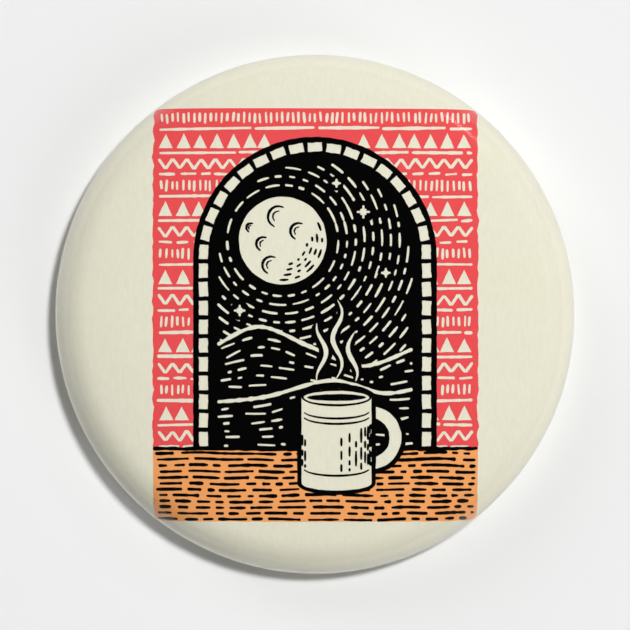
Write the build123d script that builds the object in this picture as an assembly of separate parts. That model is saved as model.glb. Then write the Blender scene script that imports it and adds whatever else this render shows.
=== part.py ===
from build123d import *
from math import asin, cos, degrees, radians, sin
import os

# A round pin-back button badge, 58 mm across, lying face up, in millimetres. The origin is on the button's
# axis, in the plane that its back rim rests on. +Z is the way the face looks, and +Y is the picture's top.

# The face: a dome of three arcs that get tighter towards the edge, then a short wall and a curl to the back.
BUTTON_RADIUS = 29.0
CROWN_RADIUS = 220.0
CROWN_EDGE = 19.0
HAUNCH_RADIUS = 45.0
HAUNCH_EDGE = 25.2
WALL_HEIGHT = 0.4
CURL_RADIUS = 1.4
SKIN_BOTTOM = 0.3
LIP_EDGE = 26.3
TUCK_EDGE = 27.3

# The layers, from the outside in.
FILM_THICKNESS = 0.10
PRINT_THICKNESS = 0.12
TINPLATE = 0.25
PRINT_INSET = FILM_THICKNESS
SHELL_INSET = FILM_THICKNESS + PRINT_THICKNESS
INSIDE_INSET = SHELL_INSET + TINPLATE
FOLD_RADIUS = SHELL_INSET + TINPLATE / 2

# The back plate: a flat panel deep inside a rolled rim, whose flange is trapped behind the shell's lip.
PANEL_DEPTH = 3.8
RIM_INNER = 23.6
RIM_OUTER = 25.8
FLANGE_EDGE = 27.9
FLANGE_FACE = SKIN_BOTTOM + 2 * FOLD_RADIUS
RIM_BEND = 0.25
PANEL_BEND = 0.9
FLANGE_BEND = 0.15
RING_INNER = 20.1
RING_OUTER = 21.9
RING_HEIGHT = 0.45
RING_SLOPE = 0.5
RING_BEND = 0.3

# The pin wire. Its coil's axis leans, so that the point leaves the catch sideways and outwards.
WIRE_RADIUS = 0.4
HINGE_TILT = 30.0
COIL_RADIUS = 1.5
COIL_X = -16.5
COIL_Y = 2.6
COIL_SPACING = 2 * WIRE_RADIUS + 0.1
COIL_ARC = 280.0
LEG_GAP = 0.02
LEG_END_X = 9.0
LEG_END_BEND = 1.2
LEG_END_LENGTH = 2.2
NEEDLE_SPLAY = 10.0
SPLAY_LENGTH = 3.0
SPLAY_BEND = 5.0
TAPER_START_X = 12.0
TAPER_LENGTH = 5.2
POINT_RADIUS = 0.04

# The two bridges over the wire's leg, and the catch, all lanced from the panel.
BRIDGE_CENTRES_X = (-8.5, 4.5)
BRIDGE_WIDTH = 3.0
BRIDGE_TOP = 0.95
BRIDGE_FOOT = 1.8
BRIDGE_SLOT = 2.15
BRIDGE_ROOT = 2.5
BRIDGE_BEND = 0.25
CATCH_START_X = 14.8
CATCH_WIDTH = 2.2
CATCH_WALL_GAP = 0.58
CATCH_ARM_GAP = 0.39
CATCH_REACH = 0.12
CATCH_ROOT = 1.0
CATCH_BEND = 0.3
LANCE_GAP = 0.15
SLOT_DEPTH = 1.0

# Where the coil, the leg and the needle lie, worked out from the panel down.
LEAN_Y = cos(radians(HINGE_TILT))
LEAN_Z = sin(radians(HINGE_TILT))
LEG_Z = PANEL_DEPTH - WIRE_RADIUS - LEG_GAP
COIL_HEIGHT = LEG_Z - COIL_RADIUS * LEAN_Z - COIL_SPACING / 2 * LEAN_Y
LEG_Y = COIL_Y - COIL_RADIUS * LEAN_Y + COIL_SPACING / 2 * LEAN_Z
SPLAY = radians(NEEDLE_SPLAY)
SPLAY_RISE = SPLAY_LENGTH * sin(SPLAY) + SPLAY_BEND * (1 - cos(SPLAY))
SPLAY_RUN = SPLAY_LENGTH * cos(SPLAY) + SPLAY_BEND * sin(SPLAY)
NEEDLE_OFFSET = COIL_RADIUS * cos(SPLAY) + SPLAY_RISE
NEEDLE_X = COIL_X - COIL_RADIUS * sin(SPLAY) + SPLAY_RUN
NEEDLE_Y = COIL_Y + NEEDLE_OFFSET * LEAN_Y - COIL_SPACING / 2 * LEAN_Z
NEEDLE_Z = COIL_HEIGHT - NEEDLE_OFFSET * LEAN_Z - COIL_SPACING / 2 * LEAN_Y


def arc(centre, radius, start, end):
    """An arc in the plane of radius and height. Angles are in degrees from +Z towards the button's edge."""
    points = []
    for degree in (start, (start + end) / 2, end):
        angle = radians(degree)
        points.append((centre[0] + radius * sin(angle), 0, centre[1] + radius * cos(angle)))
    return ThreePointArc(*points)


def skin_profile(inset, with_fold, with_tuck):
    """The front skin's profile, inset from the film's outer face: out from the axis and round behind."""
    crown_slope = degrees(asin(CROWN_EDGE / CROWN_RADIUS))
    haunch_x = CROWN_EDGE - HAUNCH_RADIUS * sin(radians(crown_slope))
    haunch_slope = degrees(asin((HAUNCH_EDGE - haunch_x) / HAUNCH_RADIUS))
    shoulder_radius = (BUTTON_RADIUS - HAUNCH_EDGE) / (1 - sin(radians(haunch_slope)))
    curl = (BUTTON_RADIUS - CURL_RADIUS, SKIN_BOTTOM + CURL_RADIUS)
    shoulder = (BUTTON_RADIUS - shoulder_radius, curl[1] + WALL_HEIGHT)
    haunch = (haunch_x, shoulder[1] - (HAUNCH_RADIUS - shoulder_radius) * cos(radians(haunch_slope)))
    crown = (0, haunch[1] - (CROWN_RADIUS - HAUNCH_RADIUS) * cos(radians(crown_slope)))
    fold = (LIP_EDGE, SKIN_BOTTOM + FOLD_RADIUS)

    edges = [
        arc(crown, CROWN_RADIUS - inset, 0, crown_slope),
        arc(haunch, HAUNCH_RADIUS - inset, crown_slope, haunch_slope),
        arc(shoulder, shoulder_radius - inset, haunch_slope, 90),
        Line((BUTTON_RADIUS - inset, 0, shoulder[1]), (BUTTON_RADIUS - inset, 0, curl[1])),
        arc(curl, CURL_RADIUS - inset, 90, 180),
        Line((curl[0], 0, SKIN_BOTTOM + inset), (LIP_EDGE, 0, SKIN_BOTTOM + inset)),
    ]
    if with_fold:
        edges.append(arc(fold, FOLD_RADIUS - inset, 180, 360))
    if with_tuck:
        height = fold[1] + FOLD_RADIUS - inset
        edges.append(Line((LIP_EDGE, 0, height), (TUCK_EDGE, 0, height)))
    return edges


def skin_layer(outer_inset, inner_inset, tucked):
    """One layer of the front skin, turned about the button's axis."""
    outer = skin_profile(outer_inset, True, tucked)
    inner = skin_profile(inner_inset, tucked, tucked)
    edges = outer + inner + [Line(outer[0] @ 0, inner[0] @ 0)]
    if tucked:
        edges.append(Line(outer[-1] @ 1, inner[-1] @ 1))
    return revolve(make_face(edges), Axis.Z)


def bent_sheet(points, bends, thickness):
    """The edge-on face of a bent sheet, which lies to the left of the points. bends are inside radii."""
    points = [Vector(*point) for point in points]
    lefts = []
    for start, end in zip(points, points[1:]):
        along = (end - start).normalized()
        lefts.append(Vector(-along.Y, along.X))
    shifts = [lefts[0]]
    near_radii = []
    far_radii = []
    for bend, before, after in zip(bends, lefts, lefts[1:]):
        shifts.append((before + after) / (1 + before.dot(after)))
        turns_left = before.cross(after).Z > 0
        near_radii.append(bend + thickness if turns_left else bend)
        far_radii.append(bend if turns_left else bend + thickness)
    shifts.append(lefts[-1])
    moved = [point + shift * thickness for point, shift in zip(points, shifts)]
    near = FilletPolyline(*points, radius=near_radii)
    far = FilletPolyline(*moved, radius=far_radii)
    ends = [Line(points[0], moved[0]), Line(points[-1], moved[-1])]
    return make_face(near.edges() + far.edges() + ends)


def planar_wire(start, heading, moves):
    """A round wire from a point of the XY plane. A move is a length, or a (bend radius, turn) pair."""
    position = Vector(*start)
    pieces = []
    for move in moves:
        along = Vector(cos(radians(heading)), sin(radians(heading)))
        section = Plane(origin=position, z_dir=along) * Circle(WIRE_RADIUS)
        if isinstance(move, tuple):
            radius, turn = move
            side = 1 if turn > 0 else -1
            centre = position + Vector(-along.Y, along.X) * radius * side
            pieces.append(revolve(section, Axis(centre, (0, 0, side)), abs(turn)))
            position = centre + (position - centre).rotate(Axis.Z, turn)
            heading += turn
        else:
            pieces.append(extrude(section, amount=move))
            position = position + along * move
    return Part() + pieces


def coil_plane(side):
    """The plane of one half of the coil: its X is the button's, and its Y is the way the needle opens."""
    axis = Vector(0, LEAN_Z, LEAN_Y)
    middle = Vector(COIL_X, COIL_Y, COIL_HEIGHT)
    return Plane(origin=middle + axis * side * COIL_SPACING / 2, x_dir=(1, 0, 0), z_dir=axis)


def front_shell():
    """The domed tinplate shell, with its edge turned in behind."""
    return skin_layer(SHELL_INSET, INSIDE_INSET, False)


def print_disc():
    """The printed paper disc, wrapped over the shell and tucked round its lip."""
    return skin_layer(PRINT_INSET, SHELL_INSET, True)


def film_disc():
    """The clear film over the print, wrapped and tucked with it."""
    return skin_layer(0, PRINT_INSET, True)


def bridge(x):
    """A lanced strip that crosses under the wire's leg and holds it against the panel."""
    crossing = LEG_Z - WIRE_RADIUS - LEG_GAP - TINPLATE
    profile = bent_sheet(
        [
            (LEG_Y - BRIDGE_ROOT, PANEL_DEPTH),
            (LEG_Y - BRIDGE_FOOT, PANEL_DEPTH),
            (LEG_Y - BRIDGE_TOP, crossing),
            (LEG_Y + BRIDGE_TOP, crossing),
            (LEG_Y + BRIDGE_FOOT, PANEL_DEPTH),
            (LEG_Y + BRIDGE_ROOT, PANEL_DEPTH),
        ],
        [BRIDGE_BEND] * 4,
        TINPLATE,
    )
    return extrude(Plane.YZ.offset(x - BRIDGE_WIDTH / 2) * profile, amount=BRIDGE_WIDTH)


def catch():
    """A lanced strip that stands off the panel beside the needle's point and turns under it."""
    wall_y = NEEDLE_Y - CATCH_WALL_GAP
    arm_z = NEEDLE_Z - CATCH_ARM_GAP - TINPLATE
    profile = bent_sheet(
        [
            (wall_y - CATCH_ROOT, PANEL_DEPTH),
            (wall_y, PANEL_DEPTH),
            (wall_y, arm_z),
            (NEEDLE_Y + CATCH_REACH, arm_z),
        ],
        [CATCH_BEND] * 2,
        TINPLATE,
    )
    tip = Location((NEEDLE_Y + CATCH_REACH, arm_z + TINPLATE / 2)) * Circle(TINPLATE / 2)
    return extrude(Plane.YZ.offset(CATCH_START_X) * (profile + tip), amount=CATCH_WIDTH)


def panel_slot(x, width, y_from, y_to):
    """The hole that a lanced strip leaves in the panel."""
    return Location((x, (y_from + y_to) / 2, PANEL_DEPTH)) * Box(width, y_to - y_from, SLOT_DEPTH)


def back_plate():
    """The stamped back: panel, stiffening ring, rolled rim and flange, with its bridges and catch."""
    ring = PANEL_DEPTH - RING_HEIGHT
    profile = bent_sheet(
        [
            (0, PANEL_DEPTH),
            (RING_INNER, PANEL_DEPTH),
            (RING_INNER + RING_SLOPE, ring),
            (RING_OUTER - RING_SLOPE, ring),
            (RING_OUTER, PANEL_DEPTH),
            (RIM_INNER, PANEL_DEPTH),
            (RIM_INNER, 0),
            (RIM_OUTER, 0),
            (RIM_OUTER, FLANGE_FACE),
            (FLANGE_EDGE, FLANGE_FACE),
        ],
        [RING_BEND] * 4 + [PANEL_BEND, RIM_BEND, RIM_BEND, FLANGE_BEND],
        TINPLATE,
    )
    plate = revolve(Plane.XZ * profile, Axis.Z)
    for x in BRIDGE_CENTRES_X:
        plate -= panel_slot(x, BRIDGE_WIDTH + 2 * LANCE_GAP, LEG_Y - BRIDGE_SLOT, LEG_Y + BRIDGE_SLOT)
        plate += bridge(x)
    strip_length = PANEL_DEPTH - NEEDLE_Z + CATCH_WALL_GAP + CATCH_REACH
    wall_y = NEEDLE_Y - CATCH_WALL_GAP
    catch_x = CATCH_START_X + CATCH_WIDTH / 2
    plate -= panel_slot(catch_x, CATCH_WIDTH + 2 * LANCE_GAP, wall_y - CATCH_BEND, wall_y + strip_length)
    return plate + catch()


def pin_wire():
    """The fixed half of the wire: its part of the coil, and the bridged leg with its end bent aside."""
    start = Vector(COIL_RADIUS, 0).rotate(Axis.Z, -90 - COIL_ARC)
    coil = coil_plane(1) * planar_wire(start, -COIL_ARC, [(COIL_RADIUS, COIL_ARC)])
    straight = LEG_END_X - LEG_END_BEND - COIL_X
    leg = planar_wire((COIL_X, LEG_Y), 0, [straight, (LEG_END_BEND, -90), LEG_END_LENGTH])
    return coil + Location((0, 0, LEG_Z)) * leg


def needle():
    """The moving half of the wire: its part of the coil, and the leg that tapers to the point."""
    root = 90 + NEEDLE_SPLAY
    start = Vector(COIL_RADIUS, 0).rotate(Axis.Z, root + COIL_ARC)
    straight = TAPER_START_X - NEEDLE_X
    moves = [(COIL_RADIUS, -COIL_ARC), SPLAY_LENGTH, (SPLAY_BEND, -NEEDLE_SPLAY), straight]
    shaft = coil_plane(-1) * planar_wire(start, NEEDLE_SPLAY + COIL_ARC, moves)
    taper_plane = Plane(origin=(TAPER_START_X, NEEDLE_Y, NEEDLE_Z), z_dir=(1, 0, 0))
    seat = (Align.CENTER, Align.CENTER, Align.MIN)
    return shaft + taper_plane * Cone(WIRE_RADIUS, POINT_RADIUS, TAPER_LENGTH, align=seat)


os.makedirs("parts", exist_ok=True)
for make_piece in (front_shell, print_disc, film_disc, back_plate, pin_wire, needle):
    export_step(make_piece(), f"parts/{make_piece.__name__}.step")

print(f"hinge through {COIL_X:.4f}, {COIL_Y:.4f}, {COIL_HEIGHT:.4f} along 0, {LEAN_Z:.6f}, {LEAN_Y:.6f}")
print(f"needle from x {NEEDLE_X:.4f} to {TAPER_START_X:.4f}, at y {NEEDLE_Y:.4f} and z {NEEDLE_Z:.4f}")
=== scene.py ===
"""Looks of a 58 mm pin-back button badge: a printed paper face under clear film, and its tinplate back.

Sizes are in millimetres, and new_piece() turns them into Blender's metres.
"""

import math
import random

import bpy
from mathutils import Matrix, Vector, geometry, noise


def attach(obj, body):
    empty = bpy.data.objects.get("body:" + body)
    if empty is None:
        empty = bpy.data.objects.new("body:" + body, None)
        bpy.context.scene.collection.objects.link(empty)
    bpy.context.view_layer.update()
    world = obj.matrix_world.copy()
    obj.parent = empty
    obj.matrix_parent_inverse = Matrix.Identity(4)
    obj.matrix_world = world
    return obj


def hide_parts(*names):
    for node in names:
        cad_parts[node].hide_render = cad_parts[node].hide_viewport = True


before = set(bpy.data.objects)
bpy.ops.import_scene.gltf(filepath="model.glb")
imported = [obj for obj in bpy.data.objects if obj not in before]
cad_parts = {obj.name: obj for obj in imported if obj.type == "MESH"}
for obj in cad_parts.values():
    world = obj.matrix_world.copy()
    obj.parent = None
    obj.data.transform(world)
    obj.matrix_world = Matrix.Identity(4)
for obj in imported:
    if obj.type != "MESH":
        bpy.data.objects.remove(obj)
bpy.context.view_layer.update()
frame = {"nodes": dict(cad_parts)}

MM = 0.001
SEED = 58
DICE = random.Random(SEED)
noise.seed_set(SEED)

# The dome of the face, as the CAD part has it: three arcs, a short wall, a curl to the back and a tuck.
BUTTON_RADIUS = 29.0
CROWN_RADIUS = 220.0
CROWN_EDGE = 19.0
HAUNCH_RADIUS = 45.0
HAUNCH_EDGE = 25.2
WALL_HEIGHT = 0.4
CURL_RADIUS = 1.4
SKIN_BOTTOM = 0.3
LIP_EDGE = 26.3
TUCK_EDGE = 27.3
FOLD_RADIUS = 0.345

# How far each layer lies under the film's outer face, and how many segments a turned layer has.
FILM_INSIDE = 0.075
INK_INSET = 0.084
PAPER_INSET = 0.100
PAPER_INSIDE = 0.215
SEGMENTS = 256

# The arcs' centres, worked out as the part works them out. Slopes are from +Z towards the edge.
CROWN_SLOPE = math.asin(CROWN_EDGE / CROWN_RADIUS)
HAUNCH_X = CROWN_EDGE - HAUNCH_RADIUS * math.sin(CROWN_SLOPE)
HAUNCH_SLOPE = math.asin((HAUNCH_EDGE - HAUNCH_X) / HAUNCH_RADIUS)
SHOULDER_RADIUS = (BUTTON_RADIUS - HAUNCH_EDGE) / (1 - math.sin(HAUNCH_SLOPE))
CURL = (BUTTON_RADIUS - CURL_RADIUS, SKIN_BOTTOM + CURL_RADIUS)
SHOULDER = (BUTTON_RADIUS - SHOULDER_RADIUS, CURL[1] + WALL_HEIGHT)
HAUNCH = (HAUNCH_X, SHOULDER[1] - (HAUNCH_RADIUS - SHOULDER_RADIUS) * math.cos(HAUNCH_SLOPE))
CROWN = (0.0, HAUNCH[1] - (CROWN_RADIUS - HAUNCH_RADIUS) * math.cos(CROWN_SLOPE))
FOLD = (LIP_EDGE, SKIN_BOTTOM + FOLD_RADIUS)

# The printed picture, from the button's middle. Past WRAP_START its corners run down over the edge.
PICTURE_LEFT = -18.1
PICTURE_RIGHT = 18.2
PICTURE_TOP = 23.15
PICTURE_BOTTOM = -23.2
TABLE_TOP = -15.0
PICTURE_SCALE = 0.988
WRAP_START = 28.3


# ---------------------------------------------------------------- The dome, and meshes on it

def arc_points(centre, radius, start, end, count):
    """Points of an arc in the plane of radius and height, without its last one. Angles are slopes."""
    points = []
    for step in range(count):
        slope = start + (end - start) * step / count
        points.append((centre[0] + radius * math.sin(slope), centre[1] + radius * math.cos(slope)))
    return points


def skin_profile(inset):
    """The face's profile at an inset: from the axis over the edge, round behind, and into the tuck."""
    half, whole = math.pi / 2, math.pi
    points = arc_points(CROWN, CROWN_RADIUS - inset, 0, CROWN_SLOPE, 18)
    points += arc_points(HAUNCH, HAUNCH_RADIUS - inset, CROWN_SLOPE, HAUNCH_SLOPE, 8)
    points += arc_points(SHOULDER, SHOULDER_RADIUS - inset, HAUNCH_SLOPE, half, 26)
    points += arc_points(CURL, CURL_RADIUS - inset, half, whole, 16)
    points.append((CURL[0], SKIN_BOTTOM + inset))
    points.append((CURL[0] / 2 + LIP_EDGE / 2, SKIN_BOTTOM + inset))
    points += arc_points(FOLD, FOLD_RADIUS - inset, whole, 2 * whole, 12)
    points.append((LIP_EDGE, FOLD[1] + FOLD_RADIUS - inset))
    points.append((TUCK_EDGE, FOLD[1] + FOLD_RADIUS - inset))
    return points


def on_arc(radius, centre, arc_radius):
    """The height of an arc at a radius from the button's axis."""
    return centre[1] + math.sqrt(arc_radius ** 2 - (radius - centre[0]) ** 2)


def on_face(point, inset):
    """A point of the flat picture, put on the dome straight from above, and down the edge past the wrap."""
    radius = point.length
    shoulder = SHOULDER_RADIUS - inset
    if radius <= (CROWN_RADIUS - inset) * math.sin(CROWN_SLOPE):
        height = on_arc(radius, CROWN, CROWN_RADIUS - inset)
    elif radius <= HAUNCH_X + (HAUNCH_RADIUS - inset) * math.sin(HAUNCH_SLOPE):
        height = on_arc(radius, HAUNCH, HAUNCH_RADIUS - inset)
    elif radius <= WRAP_START:
        height = on_arc(radius, SHOULDER, shoulder)
    else:
        start = math.asin((WRAP_START - SHOULDER[0]) / shoulder)
        slope = start + (radius - WRAP_START) / math.cos(start) / shoulder
        reach = SHOULDER[0] + shoulder * math.sin(min(slope, math.pi / 2))
        height = SHOULDER[1] + shoulder * math.cos(min(slope, math.pi / 2))
        height -= min(max(slope - math.pi / 2, 0) * shoulder, WALL_HEIGHT)
        point = point * (reach / radius)
    return (point.x, point.y, height)


def new_piece(name, points, faces):
    """A mesh object from points in millimetres, smooth but for its sharp edges."""
    mesh = bpy.data.meshes.new(name)
    mesh.from_pydata([Vector(point) * MM for point in points], [], faces)
    mesh.validate()
    mesh.shade_smooth()
    mesh.set_sharp_from_angle(angle=math.radians(35))
    piece = bpy.data.objects.new(name, mesh)
    bpy.context.scene.collection.objects.link(piece)
    return piece


def turned_piece(name, outer, inner, segments, ripple=None):
    """A closed shell turned about the button's axis, between an outer and an inner profile."""
    points = [(0, 0, outer[0][1])]
    rings = []
    for layer, profile in (("outer", outer[1:]), ("inner", inner[:0:-1])):
        for radius, height in profile:
            rings.append(len(points))
            for step in range(segments):
                turn = 2 * math.pi * step / segments
                lift = ripple(radius, height, turn) if ripple and layer == "outer" else 0
                points.append((radius * math.cos(turn), radius * math.sin(turn), height - lift))
    points.append((0, 0, inner[0][1]))
    faces = []
    for step in range(segments):
        after = (step + 1) % segments
        faces.append((0, rings[0] + step, rings[0] + after))
        for near, far in zip(rings, rings[1:]):
            faces.append((near + step, far + step, far + after, near + after))
        faces.append((len(points) - 1, rings[-1] + after, rings[-1] + step))
    return new_piece(name, points, faces)


# ---------------------------------------------------------------- Knife-cut lines and shapes

def smooth(points, step=0.35):
    """An even line through given points, by Catmull-Rom curves."""
    points = [Vector(point) for point in points]
    count = len(points)
    line = []
    for start in range(count - 1):
        here, there = points[start], points[start + 1]
        before, after = points[max(start - 1, 0)], points[min(start + 2, count - 1)]
        pieces = max(2, math.ceil((there - here).length / step))
        for piece in range(pieces):
            t = piece / pieces
            line.append(
                here
                + (there - before) * (0.5 * t)
                + (before * 2 - here * 5 + there * 4 - after) * (0.5 * t * t)
                + (here * 3 - there * 3 + after - before) * (0.5 * t * t * t)
            )
    return line + [points[-1]]


def straight(points, step=0.5):
    """The closed outline through some corners, with points along its straight sides."""
    points = [Vector(point) for point in points]
    line = []
    for here, there in zip(points, points[1:] + points[:1]):
        pieces = max(1, math.ceil((there - here).length / step))
        line += [here.lerp(there, piece / pieces) for piece in range(pieces)]
    return line


def roughen(line, amount=0.07, grain=0.8):
    """The line as a knife cuts it, each point moved a little by smooth noise."""
    moved = []
    for point in line:
        shift = noise.noise_vector(Vector((point.x / grain, point.y / grain, 3.1)))
        moved.append(point + Vector((shift.x, shift.y)) * amount)
    return moved


def placed(points, middle, turn=0.0):
    """Points moved from a shape's own middle to the picture, turned by degrees."""
    cos, sin = math.cos(math.radians(turn)), math.sin(math.radians(turn))
    return [Vector((middle[0] + x * cos - y * sin, middle[1] + x * sin + y * cos)) for x, y in points]


def distances(line):
    """How far along the line each of its points is."""
    reached = [0.0]
    for here, there in zip(line, line[1:]):
        reached.append(reached[-1] + (there - here).length)
    return reached


def place_along(line, reached, distance):
    """The place at a distance along a line, and the line's direction there."""
    index = 1
    while index < len(line) - 1 and reached[index] < distance:
        index += 1
    here, there = line[index - 1], line[index]
    share = (distance - reached[index - 1]) / max(reached[index] - reached[index - 1], 1e-6)
    return here.lerp(there, min(max(share, 0), 1)), (there - here).normalized()


def cut_from(line, start, end):
    """The stretch of a line between two distances along it."""
    reached = distances(line)
    inner = [point for point, far in zip(line, reached) if start + 0.05 < far < end - 0.05]
    return [place_along(line, reached, start)[0]] + inner + [place_along(line, reached, end)[0]]


def inside(outline, point):
    """Whether a point lies in a closed outline."""
    crossings = 0
    for here, there in zip(outline, outline[1:] + outline[:1]):
        if (here.y > point.y) != (there.y > point.y):
            share = (point.y - here.y) / (there.y - here.y)
            crossings += point.x < here.x + share * (there.x - here.x)
    return crossings % 2 == 1


# Every shape of the picture in the order it is printed, as its colour and its outline.
SHAPES = []


def fill(colour, outline):
    """Prints a closed shape over what is there already."""
    area = sum(here.x * there.y - there.x * here.y for here, there in zip(outline, outline[1:] + outline[:1]))
    SHAPES.append((colour, outline if area > 0 else outline[::-1]))


def stroke(colour, line, width, point=0.0, waver=0.2):
    """Prints a knife-cut stroke: round ended, of wavering width, and thinner towards its ends."""
    reached = distances(line)
    total = reached[-1]
    tip = min(width * 0.5, total * 0.45)
    middle = max(1, math.ceil((total - 2 * tip) / 0.45))
    stations = [0, tip * 0.12, tip * 0.5]
    stations += [tip + (total - 2 * tip) * step / middle for step in range(middle + 1)]
    stations += [total - tip * 0.5, total - tip * 0.12, total]
    left, right = [], []
    for distance in stations:
        place, along = place_along(line, reached, distance)
        near_end = min(distance, total - distance, tip) / tip
        from_middle = abs(2 * distance / total - 1)
        half = width / 2 * math.sqrt(max(1 - (1 - near_end) ** 2, 0))
        half *= 1 - point * from_middle ** 1.5
        half *= 1 + waver * noise.noise(Vector((place.x * 1.9, place.y * 1.9, width * 9)))
        across = Vector((-along.y, along.x)) * half
        left.append(place + across)
        right.append(place - across)
    fill(colour, right + left[-2:0:-1])


def dash(colour, middle, length, width, lean=0.0):
    """Prints one short stroke about its middle, leaning by degrees from the picture's X."""
    along = Vector((math.cos(math.radians(lean)), math.sin(math.radians(lean)))) * length / 2
    stroke(colour, [Vector(middle) - along, Vector(middle), Vector(middle) + along], width)


def block(colour, middle, width, height, lean=0.0):
    """Prints a four-sided block, cut by hand."""
    right, top = width / 2, height / 2
    corners = placed([(-right, -top), (right, -top), (right, top), (-right, top)], middle, lean)
    fill(colour, roughen(straight(corners, 0.25), 0.07, 0.5))


def row_between(first, last, share, count=40):
    """A line that runs part of the way from one guide line to another."""
    row = []
    first_reached, last_reached = distances(first), distances(last)
    for step in range(count + 1):
        here, _ = place_along(first, first_reached, first_reached[-1] * step / count)
        there, _ = place_along(last, last_reached, last_reached[-1] * step / count)
        row.append(here.lerp(there, share))
    return row


def hatch(colour, first, last, rows, length, gap, width, room=0.62, lean=8.0):
    """Prints rows of dashes that flow from one guide line to another, with room round each."""
    taken = []
    for index in range(rows):
        row = row_between(first, last, (index + 0.5) / rows)
        total = distances(row)[-1]
        reach = DICE.uniform(0, length)
        while reach < total - 0.3:
            size = length * DICE.uniform(0.3, 1.8)
            piece = cut_from(row, reach, min(reach + size, total))
            middle = piece[len(piece) // 2]
            moved = middle + Vector((DICE.uniform(-0.12, 0.12), DICE.uniform(-0.12, 0.12)))
            turn = Matrix.Rotation(math.radians(DICE.uniform(-lean, lean)), 2)
            piece = [moved + turn @ (point - middle) for point in piece]
            if all((point - other).length > room for point in piece for other in taken):
                stroke(colour, piece, width * DICE.uniform(0.8, 1.2), point=DICE.uniform(0, 0.35))
                taken += piece
            reach += size + gap * DICE.uniform(0.6, 1.5)


# ---------------------------------------------------------------- The picture
# A plain still life: a mug on a wooden table, before an arched window at night, in a wall of woven bands.

WINDOW_HALF = 13.6
WINDOW_SPRING = 6.2
SKY_HALF = 10.9
MOON_MIDDLE = Vector((-3.6, 8.2))
MOON_RADIUS = 4.9
MUG_MIDDLE = 2.4
MUG_HALF = 3.9
MUG_TOP = -9.3
MUG_FOOT = -18.9
BAND_REPEAT = 7.6
BAND_MARGIN = 0.6
BAND_LENGTH = PICTURE_RIGHT - PICTURE_LEFT - 2 * BAND_MARGIN


def arch(half):
    """The open line of a round-headed window, from its right foot over its head to its left foot."""
    count = 48
    line = [Vector((half, TABLE_TOP))]
    for step in range(count + 1):
        turn = math.pi * step / count
        line.append(Vector((half * math.cos(turn), WINDOW_SPRING + half * math.sin(turn))))
    return line + [Vector((-half, TABLE_TOP))]


def arc(middle, radius, start, end):
    """An arc about a middle, between two angles in degrees."""
    count = max(2, math.ceil(radius * math.radians(abs(end - start)) / 0.5))
    line = []
    for step in range(count + 1):
        turn = math.radians(start + (end - start) * step / count)
        line.append(Vector(middle) + Vector((math.cos(turn), math.sin(turn))) * radius)
    return line


def half_ellipse(y, half_width, height, side, count=18):
    """Half an ellipse round the mug, from left to right: side is 1 for its top and -1 for its bottom."""
    points = []
    for step in range(count + 1):
        turn = math.pi * (1 - step / count)
        x = MUG_MIDDLE + half_width * math.cos(turn)
        points.append(Vector((x, y + side * height * math.sin(turn))))
    return points


WINDOW = arch(WINDOW_HALF)


def band_xs(pitch):
    """Even places across the picture, each a little off."""
    count = round(BAND_LENGTH / pitch)
    for step in range(count):
        yield PICTURE_LEFT + BAND_MARGIN + BAND_LENGTH * (step + 0.5 + DICE.uniform(-0.1, 0.1)) / count


def hidden(*points):
    """Whether the window hides all of these points of the wall."""
    return all(inside(WINDOW, Vector(point)) for point in points)


def fringe(top, height, pitch, width=0.3):
    """A row of upright dashes."""
    for x in band_xs(pitch):
        start = Vector((x + DICE.uniform(-0.08, 0.08), top - DICE.uniform(0, 0.15) * height))
        end = Vector((x + DICE.uniform(-0.08, 0.08), top - height * DICE.uniform(0.78, 1.0)))
        if not hidden(start, end):
            stroke("cream", [start, end], width * DICE.uniform(0.8, 1.15), point=0.2)


def rule(y, width, length=7.0, gap=0.3):
    """A line across the wall, cut in long or short strokes."""
    x = PICTURE_LEFT + DICE.uniform(0.4, 0.7)
    while x < PICTURE_RIGHT - 1.0:
        end = min(x + length * DICE.uniform(0.5, 1.5), PICTURE_RIGHT - 0.6)
        line = smooth([(x, y + DICE.uniform(-0.1, 0.06)), (end, y + DICE.uniform(-0.06, 0.1))], step=0.8)
        if not hidden(line[0], line[-1]):
            stroke("cream", line, width * DICE.uniform(0.85, 1.15), point=0.15, waver=0.4)
        x = end + gap * DICE.uniform(0.7, 1.5)


def zigzag(top, height, pitch, width=0.34):
    """One long zigzag across the wall."""
    count = round(BAND_LENGTH / pitch) * 2
    corners = []
    for step in range(count + 1):
        y = top - height * (step % 2) + DICE.uniform(-0.08, 0.08)
        corners.append(Vector((PICTURE_LEFT + BAND_MARGIN + BAND_LENGTH * step / count, y)))
    for start, end in zip(corners, corners[1:]):
        if not hidden(start, end):
            stroke("cream", [start, end], width, waver=0.3)


def triangles(base, height, pitch):
    """A row of solid triangles."""
    for x in band_xs(pitch):
        half = pitch * 0.44
        if not hidden((x - half, base), (x + half, base)):
            corners = [(x - half, base), (x + half, base), (x, base + height * DICE.uniform(0.9, 1.0))]
            fill("cream", roughen(straight(corners), 0.06))


def wall():
    """The red wall, and the woven bands that repeat down it."""
    left = smooth([(PICTURE_LEFT, PICTURE_TOP), (PICTURE_LEFT, TABLE_TOP - 0.5)], step=0.5)
    right = smooth([(PICTURE_RIGHT, TABLE_TOP - 0.5), (PICTURE_RIGHT, PICTURE_TOP)], step=0.5)
    fill("red", roughen(left, 0.26, 1.0) + roughen(right, 0.26, 1.0))
    for repeat in range(5):
        top = PICTURE_TOP - 0.5 - BAND_REPEAT * repeat
        fringe(top, 1.4, 0.62)
        rule(top - 1.9, 0.34)
        triangles(top - 4.1, 1.7, 1.8)
        rule(top - 4.6, 0.34)
        zigzag(top - 5.3, 1.1, 1.6)
        rule(top - 7.0, 0.3, 1.6, 0.4)


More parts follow.
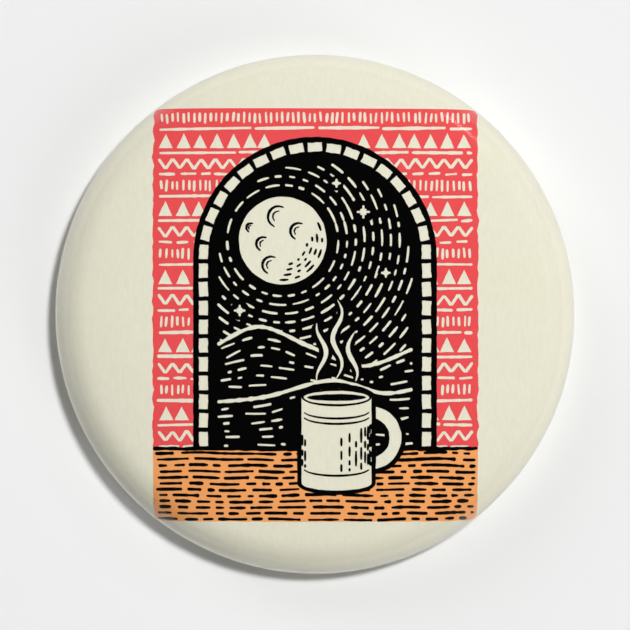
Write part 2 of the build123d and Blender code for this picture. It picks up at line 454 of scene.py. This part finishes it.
def window():
    """The dark window in its frame of stones."""
    fill("black", roughen(straight(WINDOW), 0.08))
    stones = arch(WINDOW_HALF - 1.15)
    reached = distances(stones)
    count = round(reached[-1] / 2.1)
    for index in range(count):
        middle, along = place_along(stones, reached, reached[-1] * (index + 0.5) / count)
        lean = math.degrees(math.atan2(along.y, along.x))
        block("cream", middle, 1.6, 1.0, lean + DICE.uniform(-3, 3))


def night():
    """The sky: rings of dashes about the moon."""
    sky = arch(SKY_HALF)
    for ring in range(28):
        radius = MOON_RADIUS + 1.3 + 0.98 * ring
        turn = DICE.uniform(0, 40)
        last = turn + 360
        while turn < last:
            sweep = math.degrees(DICE.uniform(0.5, 2.0) / radius)
            line = arc(MOON_MIDDLE, radius, turn, turn + sweep)
            if all(inside(sky, point) for point in line):
                stroke("cream", line, DICE.uniform(0.22, 0.32), point=DICE.uniform(0, 0.35))
            turn += sweep + math.degrees(DICE.uniform(0.5, 0.9) / radius)


def moon():
    """The full moon, with a few round craters and shade along one side."""
    fill("black", arc(MOON_MIDDLE, MOON_RADIUS + 0.7, 0, 359))
    fill("cream", roughen(arc(MOON_MIDDLE, MOON_RADIUS, 0, 359), 0.06))
    craters = ((100, 0.55, 1.2), (190, 0.45, 0.8), (30, 0.42, 0.95), (245, 0.62, 1.0), (158, 0.78, 0.55))
    for turn, share, radius in craters:
        middle = arc(MOON_MIDDLE, MOON_RADIUS * share, turn, turn + 1)[0]
        stroke("black", arc(middle, radius, 60, 250), 0.34, point=0.5)
        stroke("black", arc(middle, radius * 0.55, 80, 230), 0.24, point=0.5)
    for ring in range(4):
        radius = MOON_RADIUS - 0.5 - 0.55 * ring
        turn = -95 + 6 * ring
        while turn < 25 - 9 * ring:
            sweep = DICE.uniform(7, 16)
            stroke("black", arc(MOON_MIDDLE, radius, turn, turn + sweep), 0.3, point=0.4)
            turn += sweep + DICE.uniform(7, 11)


def stars():
    """A few stars, each of crossed strokes with dark sky round it."""
    places = (((5.4, 11.4), 1.5), ((7.9, 4.6), 1.1), ((-8.4, 0.4), 1.3), ((2.4, 14.6), 1.0))
    for place, size in places:
        fill("black", arc(place, size * 0.85, 0, 359))
        for lean, length in ((0, 1.0), (90, 1.0), (45, 0.6), (135, 0.6)):
            dash("cream", place, size * length, 0.26, lean)


def hills():
    """Two rows of hills in the lower part of the window, hatched along their slopes."""
    crests = [
        [(-SKY_HALF, -3.4), (-6.2, -1.4), (-0.6, -3.6), (5.2, -5.8), (SKY_HALF, -3.9)],
        [(-SKY_HALF, -9.8), (-5.4, -9.2), (1.8, -7.4), (7.4, -8.8), (SKY_HALF, -8.4)],
    ]
    for crest in crests:
        line = smooth(crest)
        fill("black", line[::-1] + [Vector((-SKY_HALF, TABLE_TOP)), Vector((SKY_HALF, TABLE_TOP))])
        stroke("cream", line, 0.4, waver=0.5)
        foot = [Vector((point.x, crest[0][1] - 5.2)) for point in line]
        hatch("cream", [point - Vector((0, 0.5)) for point in line], foot, 6, 1.3, 0.5, 0.27)


def steam():
    """Three wavering wisps above the mug."""
    wisps = ((-1.7, -7.4, -1.0, 0.0), (0.1, -7.2, 1.6, 1.4), (1.8, -7.5, -2.0, 2.6))
    for offset, low, high, phase in wisps:
        line = []
        for step in range(9):
            y = low + (high - low) * step / 8
            line.append((MUG_MIDDLE + offset + 0.55 * math.sin(phase + y * 1.1), y))
        stroke("black", smooth(line), 1.5, point=0.3)
        stroke("cream", smooth(line), 0.52, point=0.8)


def table():
    """The wooden table top, with long dashes of grain."""
    top = smooth([(PICTURE_LEFT, TABLE_TOP), (0, TABLE_TOP - 0.1), (PICTURE_RIGHT, TABLE_TOP)])
    low = [Vector((point.x, PICTURE_BOTTOM + 0.1)) for point in top]
    corners = [Vector((PICTURE_RIGHT, PICTURE_BOTTOM)), Vector((PICTURE_LEFT, PICTURE_BOTTOM))]
    fill("orange", roughen(straight(top + corners), 0.1, 1.2))
    stroke("black", roughen(top, 0.1), 0.42, waver=0.4)
    rows = 12
    for index in range(rows):
        row = roughen(row_between(top, low, (index + 0.75) / rows), 0.25, 5.0)
        total = distances(row)[-1]
        reach = DICE.uniform(0.15, 0.6)
        while reach < total - 0.7:
            size = DICE.choice((0.9, 1.5, 2.3, 3.2, 9.0 / (1 + index * 0.5))) * DICE.uniform(0.8, 1.2)
            end = min(reach + size, total - 0.3)
            stroke("black", cut_from(row, reach, end), DICE.uniform(0.3, 0.4), point=0.12, waver=0.45)
            reach = end + DICE.uniform(0.35, 0.8)


def mug():
    """A plain straight mug with a round handle, shaded by upright strokes that close up round its side."""
    handle = arc((MUG_MIDDLE + MUG_HALF - 0.2, (MUG_TOP + MUG_FOOT) / 2 + 0.3), 2.9, -90, 90)
    stroke("black", handle, 2.4, waver=0.05)
    stroke("cream", handle, 1.3, waver=0.1)
    for colour, margin in (("black", 0.5), ("cream", 0.0)):
        top = half_ellipse(MUG_TOP, MUG_HALF + margin, 1.0 + margin, 1)
        foot = half_ellipse(MUG_FOOT, MUG_HALF + margin, 0.8 + margin, -1)
        fill(colour, roughen(straight(top + foot[::-1], 0.6), 0.05))
    for colour, shrink in (("black", 0.0), ("cream", 0.26), ("black", 0.62)):
        rim = half_ellipse(MUG_TOP, MUG_HALF - shrink, 1.0 - shrink, 1)
        rim += half_ellipse(MUG_TOP, MUG_HALF - shrink, 1.0 - shrink, -1)[-2:0:-1]
        fill(colour, roughen(rim, 0.05))
    for drop in (1.5, 2.1, 7.9):
        stroke("black", half_ellipse(MUG_TOP - drop, MUG_HALF - 0.2, 0.85, -1)[1:-1], 0.26, point=0.4)
    for turn in (-78, -64, 8, 22, 34, 45, 55, 64, 72, 79):
        x = MUG_HALF * math.sin(math.radians(turn))
        sag = 0.85 * math.cos(math.radians(turn))
        y = MUG_TOP - 2.8 - sag - DICE.uniform(0, 1.6) * (turn < 40)
        low = MUG_TOP - 7.5 - sag
        while y > low + 0.4:
            end = max(y - DICE.uniform(0.6, 1.8), low)
            stroke("black", [Vector((MUG_MIDDLE + x, y)), Vector((MUG_MIDDLE + x, end))], 0.28, point=0.3)
            y = end - DICE.uniform(0.25, 0.5)


def draw_picture():
    """The whole picture, from what lies behind to what lies in front."""
    wall()
    window()
    night()
    moon()
    stars()
    hills()
    steam()
    table()
    mug()


# ---------------------------------------------------------------- Printing it on the dome

def dome_rings():
    """The rings of loose points that make the ink follow the dome: each ring's radius and its spacing."""
    rings = [(0.95 * step, 0.95) for step in range(1, 27)]
    shoulder = SHOULDER_RADIUS - INK_INSET
    for step in range(1, 17):
        slope = HAUNCH_SLOPE + (math.radians(60) - HAUNCH_SLOPE) * step / 16
        rings.append((SHOULDER[0] + shoulder * math.sin(slope), 0.5))
    return rings + [(WRAP_START + 0.1 * step, 0.5) for step in range(1, 12)]


def loose_points():
    """The loose points. Those outside the picture make triangles that nothing is printed on."""
    points = [Vector((0, 0))]
    for radius, spacing in dome_rings():
        count = math.ceil(2 * math.pi * radius / spacing)
        for step in range(count):
            turn = 2 * math.pi * step / count
            point = Vector((radius * math.cos(turn), radius * math.sin(turn)))
            if abs(point.x) < PICTURE_RIGHT + 0.6 and abs(point.y) < PICTURE_TOP + 0.6:
                points.append(point)
    return points


def printed(outline):
    """A shape's outline at its printed size, with more points where it goes down the edge."""
    outline = [point * PICTURE_SCALE for point in outline]
    line = []
    for here, there in zip(outline, outline[1:] + outline[:1]):
        step = 0.12 if max(here.length, there.length) > WRAP_START - 0.3 else 0.6
        pieces = max(1, math.ceil((there - here).length / step))
        line += [here.lerp(there, piece / pieces) for piece in range(pieces)]
    return line


def ink_piece(name, points, triangles_here):
    """One colour of ink, as a thin closed layer: its top, its underside and the edge between."""
    used = sorted({corner for triangle in triangles_here for corner in triangle})
    number = {corner: index for index, corner in enumerate(used)}
    tops = [on_face(points[corner], INK_INSET) for corner in used]
    undersides = [on_face(points[corner], PAPER_INSET + 0.004) for corner in used]
    count = len(used)
    faces = []
    sides = {}
    for triangle in triangles_here:
        a, b, c = (number[corner] for corner in triangle)
        faces.append((a, b, c))
        faces.append((c + count, b + count, a + count))
        for edge in ((a, b), (b, c), (c, a)):
            if edge[::-1] in sides:
                del sides[edge[::-1]]
            else:
                sides[edge] = True
    faces += [(start, start + count, end + count, end) for start, end in sides]
    return new_piece(name, tops + undersides, faces)


def print_inks():
    """Cuts the picture's shapes against each other, and makes a piece of each colour that shows."""
    draw_picture()
    points = []
    faces = []
    for _, outline in SHAPES:
        outline = printed(outline)
        faces.append(list(range(len(points), len(points) + len(outline))))
        points += outline
    points += loose_points()
    cut = geometry.delaunay_2d_cdt(points, [], faces, 1, 1e-4, True)
    cut_points, cut_faces, owners = cut[0], cut[2], cut[5]
    by_colour = {"red": [], "black": [], "orange": []}
    for triangle, owner in zip(cut_faces, owners):
        colour = SHAPES[max(owner)][0] if owner else "cream"
        if colour in by_colour:
            by_colour[colour].append(triangle)
    return {colour: ink_piece("ink_" + colour, cut_points, found) for colour, found in by_colour.items()}


# ---------------------------------------------------------------- Materials

def linear(red, green, blue):
    """A colour given as it looks on a screen, in the shader's own numbers."""
    values = [((value / 255 + 0.055) / 1.055) ** 2.4 for value in (red, green, blue)]
    return (*values, 1.0)


PAPER_LIGHT = linear(240, 238, 218)
PAPER_DARK = linear(232, 230, 209)
PAPER_WARM = linear(238, 232, 208)
FILM_IOR = 1.45
FLOOR_TONE = linear(243, 243, 243)


class Nodes:
    """The nodes of one material, made by short calls."""

    def __init__(self, name):
        self.material = bpy.data.materials.new(name)
        self.material.use_nodes = True
        self.tree = self.material.node_tree
        self.tree.nodes.clear()
        self.output = self.tree.nodes.new("ShaderNodeOutputMaterial")
        self.where = self.tree.nodes.new("ShaderNodeTexCoord").outputs["Object"]

    def add(self, kind, settings=None, **inputs):
        """A node with its settings and its inputs, which are values or other nodes' outputs."""
        node = self.tree.nodes.new("ShaderNode" + kind)
        for key, value in (settings or {}).items():
            setattr(node, key, value)
        for key, value in inputs.items():
            socket = node.inputs[int(key[1:])] if key[1:].isdigit() else node.inputs[key.replace("_", " ")]
            if isinstance(value, bpy.types.NodeSocket):
                self.tree.links.new(value, socket)
            else:
                socket.default_value = value
        return node

    def grain(self, size, stretch=(1, 1, 1), detail=4.0, roughness=0.55):
        """Noise whose features are about size millimetres, drawn out along the axes by stretch."""
        scale = Vector([1 / (size * MM * part) for part in stretch])
        place = self.add("Mapping", Vector=self.where, Scale=scale)
        look = {"Scale": 1.0, "Detail": detail, "Roughness": roughness}
        noise_node = self.add("TexNoise", Vector=place.outputs[0], **look)
        return noise_node.outputs["Fac"]

    def between(self, fac, low, high, to_low=0.0, to_high=1.0):
        """A value moved from one range to another."""
        keys = {"From_Min": low, "From_Max": high, "To_Min": to_low, "To_Max": to_high}
        return self.add("MapRange", Value=fac, **keys).outputs["Result"]

    def mixed(self, fac, first, second):
        """A colour between two others."""
        mix = self.add("Mix", {"data_type": "RGBA"}, i0=fac, i6=first, i7=second)
        return mix.outputs[2]

    def bump(self, height, depth, strength=1.0):
        """A bump of some depth in millimetres."""
        return self.add("Bump", Height=height, Distance=depth * MM, Strength=strength).outputs["Normal"]

    def finish(self, shader):
        """The material, with this shader as its surface."""
        self.tree.links.new(shader.outputs[0], self.output.inputs["Surface"])
        return self.material


def paper_material():
    """Cream paper with fine fibres."""
    nodes = Nodes("cream_paper")
    fibre = nodes.grain(0.35, (1, 3, 1), 6.0, 0.7)
    cloud = nodes.grain(9.0, detail=2.0)
    tone = nodes.mixed(nodes.between(fibre, 0.35, 0.7), PAPER_DARK, PAPER_LIGHT)
    tone = nodes.mixed(nodes.between(cloud, 0.3, 0.7, 0.0, 0.25), tone, PAPER_WARM)
    rough = nodes.between(fibre, 0.3, 0.7, 0.62, 0.78)
    bump = nodes.bump(fibre, 0.006)
    return nodes.finish(nodes.add("BsdfPrincipled", Base_Color=tone, Roughness=rough, Normal=bump))


def ink_material(name, full, thin):
    """Matt ink, thinner in small specks."""
    nodes = Nodes(name)
    mottle = nodes.grain(0.6, detail=5.0, roughness=0.65)
    fleck = nodes.grain(0.12, detail=2.0)
    cover = nodes.between(mottle, 0.42, 0.75, 0.0, 0.5)
    flecks = nodes.between(fleck, 0.4, 0.7)
    cover = nodes.add("Math", {"operation": "MULTIPLY"}, i0=cover, i1=flecks).outputs[0]
    tone = nodes.mixed(cover, full, thin)
    rough = nodes.between(mottle, 0.3, 0.7, 0.42, 0.6)
    look = {"Base_Color": tone, "Roughness": rough, "Specular_IOR_Level": 0.15}
    return nodes.finish(nodes.add("BsdfPrincipled", Normal=nodes.bump(mottle, 0.004), **look))


def film_material():
    """Clear film: gloss by the angle it is seen at, from its outer side only, over a clear body."""
    nodes = Nodes("clear_film")
    wave = nodes.grain(6.0, detail=1.0)
    scuff = nodes.grain(0.25, (1, 40, 1), 3.0, 0.7)
    smear = nodes.grain(4.0, detail=4.0)
    rough = nodes.between(smear, 0.3, 0.75, 0.1, 0.18)
    lift = nodes.add("Math", {"operation": "MULTIPLY_ADD"}, i0=scuff, i1=0.04, i2=wave).outputs[0]
    bump = nodes.bump(lift, 0.02)
    fresnel = nodes.add("Fresnel", IOR=FILM_IOR, Normal=bump)
    behind = nodes.add("NewGeometry").outputs["Backfacing"]
    share = nodes.add("Mix", {"data_type": "FLOAT"}, i0=behind, i2=fresnel.outputs[0], i3=0.0).outputs[0]
    clear = nodes.add("BsdfTransparent")
    gloss = nodes.add("BsdfAnisotropic", Color=(1, 1, 1, 1), Roughness=rough, Normal=bump)
    return nodes.finish(nodes.add("MixShader", i0=share, i1=clear.outputs[0], i2=gloss.outputs[0]))


def tinplate_material(name, bright, dull, turned_grain):
    """Tinplate with a rolled grain and a few smudges."""
    nodes = Nodes(name)
    rolled = nodes.grain(0.05, (60, 1, 1) if not turned_grain else (1, 60, 1), 3.0, 0.6)
    spangle = nodes.grain(2.2, detail=3.0)
    smudge = nodes.grain(7.0, detail=5.0, roughness=0.6)
    tone = nodes.mixed(nodes.between(smudge, 0.35, 0.7), bright, dull)
    tone = nodes.mixed(nodes.between(rolled, 0.45, 0.8, 0.0, 0.35), tone, dull)
    rough = nodes.between(spangle, 0.3, 0.7, 0.24, 0.36)
    rough = nodes.add("Math", {"operation": "MULTIPLY_ADD"}, i0=rolled, i1=0.16, i2=rough).outputs[0]
    bump = nodes.bump(rolled, 0.003)
    shader = nodes.add("BsdfPrincipled", Base_Color=tone, Metallic=1.0, Roughness=rough, Normal=bump)
    return nodes.finish(shader)


def wire_material():
    """Plated spring wire, a little tarnished."""
    nodes = Nodes("spring_steel")
    drawn = nodes.grain(0.06, (50, 1, 1), 2.0)
    tarnish = nodes.grain(1.6, detail=4.0)
    tone = nodes.mixed(nodes.between(tarnish, 0.4, 0.75), linear(205, 204, 200), linear(168, 165, 158))
    rough = nodes.between(drawn, 0.3, 0.7, 0.12, 0.26)
    bump = nodes.bump(drawn, 0.002)
    shader = nodes.add("BsdfPrincipled", Base_Color=tone, Metallic=1.0, Roughness=rough, Normal=bump)
    return nodes.finish(shader)


def floor_material():
    """An even matt floor."""
    nodes = Nodes("studio_floor")
    cloud = nodes.grain(60.0, detail=2.0)
    tone = nodes.mixed(cloud, FLOOR_TONE, tuple(part * 0.99 for part in FLOOR_TONE[:3]) + (1,))
    return nodes.finish(nodes.add("BsdfPrincipled", Base_Color=tone, Roughness=0.9))


def set_material(piece, material):
    """The same material in every slot of a piece."""
    if not piece.data.materials:
        piece.data.materials.append(material)
    for index in range(len(piece.data.materials)):
        piece.data.materials[index] = material


# ---------------------------------------------------------------- The pieces

def crinkle(radius, height, turn):
    """The small radial pleats that the film makes where it is drawn round the edge behind."""
    depth = min(max((1.5 - height) / 1.0, 0), 1) * min(max((radius - 26.2) / 0.6, 0), 1)
    wave = noise.noise(Vector((math.cos(turn) * 22, math.sin(turn) * 22, 0)))
    fine = noise.noise(Vector((math.cos(turn) * 60, math.sin(turn) * 60, 5)))
    return depth * (0.05 * wave + 0.03 * fine - 0.03)


def build_face():
    """The printed sheet, its three inks and the film over them, in place of the CAD part's plain discs."""
    inks = print_inks()
    sheet = turned_piece("printed_sheet", skin_profile(PAPER_INSET), skin_profile(PAPER_INSIDE), SEGMENTS)
    set_material(sheet, paper_material())
    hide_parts("print_disc")
    looks = {
        "red": (linear(238, 84, 87), linear(241, 104, 104)),
        "black": (linear(4, 4, 4), linear(13, 12, 12)),
        "orange": (linear(248, 170, 103), linear(248, 180, 120)),
    }
    for colour, piece in inks.items():
        set_material(piece, ink_material("ink_" + colour, *looks[colour]))
    film = turned_piece("film", skin_profile(0.0), skin_profile(FILM_INSIDE), SEGMENTS, crinkle)
    set_material(film, film_material())
    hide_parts("film_disc")
    for piece in [sheet, film, *inks.values()]:
        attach(piece, "button")


def finish_cad_nodes():
    """Looks for the pieces that keep their CAD shape."""
    nodes = frame["nodes"]
    tin = tinplate_material("back_tinplate", linear(214, 213, 209), linear(176, 174, 168), False)
    shell = tinplate_material("shell_tinplate", linear(210, 209, 205), linear(170, 168, 162), True)
    wire = wire_material()
    for node, material in (("back_plate", tin), ("front_shell", shell), ("pin_wire", wire), ("needle", wire)):
        set_material(nodes[node], material)
        nodes[node].data.shade_smooth()
        nodes[node].data.set_sharp_from_angle(angle=math.radians(30))


# ---------------------------------------------------------------- The studio

VIEW_WIDTH = 70.3
LENS = 260.0
SENSOR = 36.0
RIM_HEIGHT = 2.0
LIGHT_DISTANCE = 2.0
ROOM_LIGHT = 0.08
KEY_WATTS = 31.2
SIDE_WATTS = 9.6
SHEEN_WATTS = 1.3
FLOOR_SIZE = 8.0


def build_camera():
    """A long lens straight above the button."""
    data = bpy.data.cameras.new("camera")
    data.lens = LENS
    data.sensor_width = SENSOR
    camera = bpy.data.objects.new("camera", data)
    bpy.context.scene.collection.objects.link(camera)
    camera.location = (0, -0.1 * MM, (RIM_HEIGHT + VIEW_WIDTH * LENS / SENSOR) * MM)
    data.clip_start = 0.01
    data.clip_end = 20.0
    bpy.context.scene.camera = camera


def build_floor():
    """A plain pale floor."""
    bpy.ops.mesh.primitive_grid_add(x_subdivisions=24, y_subdivisions=24, size=FLOOR_SIZE)
    floor = bpy.context.object
    floor.name = "studio_floor"
    set_material(floor, floor_material())


def soft_box(name, azimuth, height, size, watts, mirrored=True):
    """A square soft box that looks at the button. Angles are in degrees, and its size is in metres."""
    data = bpy.data.lights.new(name, "AREA")
    data.shape = "SQUARE"
    data.size = size
    data.energy = watts
    light = bpy.data.objects.new(name, data)
    bpy.context.scene.collection.objects.link(light)
    turn, rise = math.radians(azimuth), math.radians(height)
    away = Vector((math.cos(rise) * math.cos(turn), math.cos(rise) * math.sin(turn), math.sin(rise)))
    light.location = away * LIGHT_DISTANCE
    light.rotation_mode = "QUATERNION"
    light.rotation_quaternion = away.to_track_quat("Z", "Y")
    light.visible_glossy = mirrored


def build_world():
    """An even pale room, darker straight above, where the camera hangs."""
    world = bpy.data.worlds.new("room")
    world.use_nodes = True
    tree = world.node_tree
    tree.nodes.clear()
    where = tree.nodes.new("ShaderNodeTexCoord")
    split = tree.nodes.new("ShaderNodeSeparateXYZ")
    rise = tree.nodes.new("ShaderNodeMapRange")
    rise.interpolation_type = "SMOOTHSTEP"
    rise.inputs["From Min"].default_value = 0.70
    rise.inputs["From Max"].default_value = 0.84
    rise.inputs["To Min"].default_value = ROOM_LIGHT
    rise.inputs["To Max"].default_value = ROOM_LIGHT * 0.02
    light = tree.nodes.new("ShaderNodeBackground")
    output = tree.nodes.new("ShaderNodeOutputWorld")
    tree.links.new(where.outputs["Generated"], split.inputs[0])
    tree.links.new(split.outputs["Z"], rise.inputs["Value"])
    tree.links.new(rise.outputs[0], light.inputs["Strength"])
    tree.links.new(light.outputs[0], output.inputs[0])
    bpy.context.scene.world = world


def build_studio():
    """The camera, the floor, the room and its soft lights."""
    build_camera()
    build_floor()
    build_world()
    soft_box("key", 43, 66, 0.28, KEY_WATTS, mirrored=False)
    for azimuth in (133, 313):
        soft_box("side", azimuth, 28, 0.9, SIDE_WATTS, mirrored=False)
    soft_box("sheen", 52, 34, 0.3, SHEEN_WATTS)
    bpy.context.scene.view_settings.view_transform = "Standard"


build_studio()
build_face()
finish_cad_nodes()
